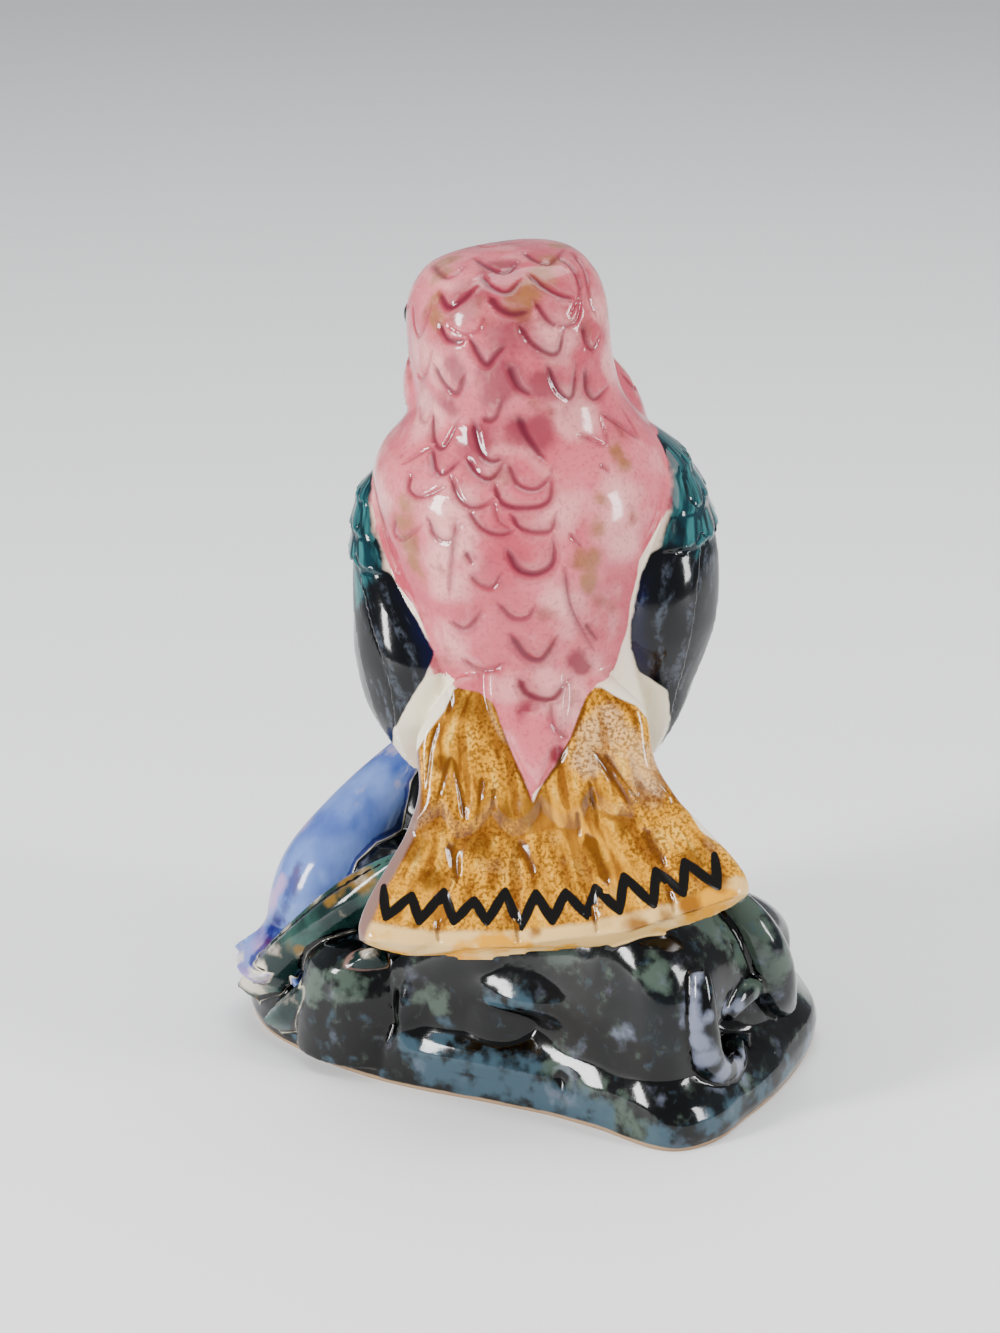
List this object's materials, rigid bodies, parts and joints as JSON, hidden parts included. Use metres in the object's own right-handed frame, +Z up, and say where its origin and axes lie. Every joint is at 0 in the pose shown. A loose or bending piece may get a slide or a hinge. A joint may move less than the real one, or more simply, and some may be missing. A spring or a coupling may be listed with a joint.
{
  "type": "bird figurine",
  "caption": "Glazed pottery hummingbird with folded wings and a fanned tail, perched on a dark rock beside a blue trumpet flower.",
  "frame": {"origin": "centre of the flat underside of the rock, on the surface that the figure stands on", "axes": "+Z up, +Y the way the bird's breast faces, -Y towards its tail, +X to the right when the figure is seen from behind"},
  "size_m": [0.0649, 0.0583, 0.0886],
  "materials": {
    "glaze": "clear gloss glaze over hand-painted colours"
  },
  "bodies": {
    "root": {"hummingbird_figurine": "glaze"}
  },
  "joints": []
}
